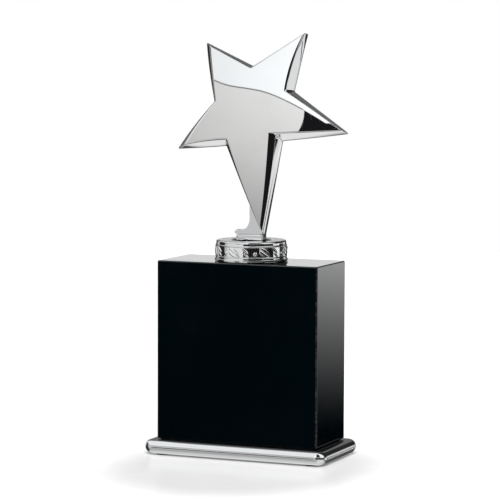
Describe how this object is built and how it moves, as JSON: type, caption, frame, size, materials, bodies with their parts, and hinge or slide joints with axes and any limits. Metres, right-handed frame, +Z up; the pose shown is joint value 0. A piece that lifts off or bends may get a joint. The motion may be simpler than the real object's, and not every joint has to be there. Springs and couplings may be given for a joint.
{
  "type": "crystal award",
  "caption": "Free-standing award: a domed metal star on a round leaf-band collar, on an upright black crystal block and a round-edged tray with small feet.",
  "frame": {"origin": "on the ground under the middle of the tray", "axes": "+Z up, the front of the block faces -Y, +X to the right seen from the front"},
  "size_m": [0.1148, 0.0596, 0.2485],
  "materials": {
    "polished_metal": "mirror polish, chrome plated",
    "black_crystal": "black optical crystal, polished",
    "rubber": "matte",
    "felt": "felt",
    "sheet": "thin foam sheet",
    "plated_steel": "zinc plated"
  },
  "bodies": {
    "root": {"foot_front_left": "rubber", "foot_front_right": "rubber", "foot_back_left": "rubber", "foot_back_right": "rubber", "base_felt": "felt", "base_tray": "polished_metal", "tray_pad": "sheet", "crystal_block": "black_crystal", "collar_gasket": "sheet", "collar": "polished_metal", "locating_pin": "plated_steel", "star_casting": "polished_metal", "tie_rod": "plated_steel", "flat_washer": "plated_steel", "spring_washer": "plated_steel", "jam_nut": "plated_steel"}
  },
  "joints": []
}
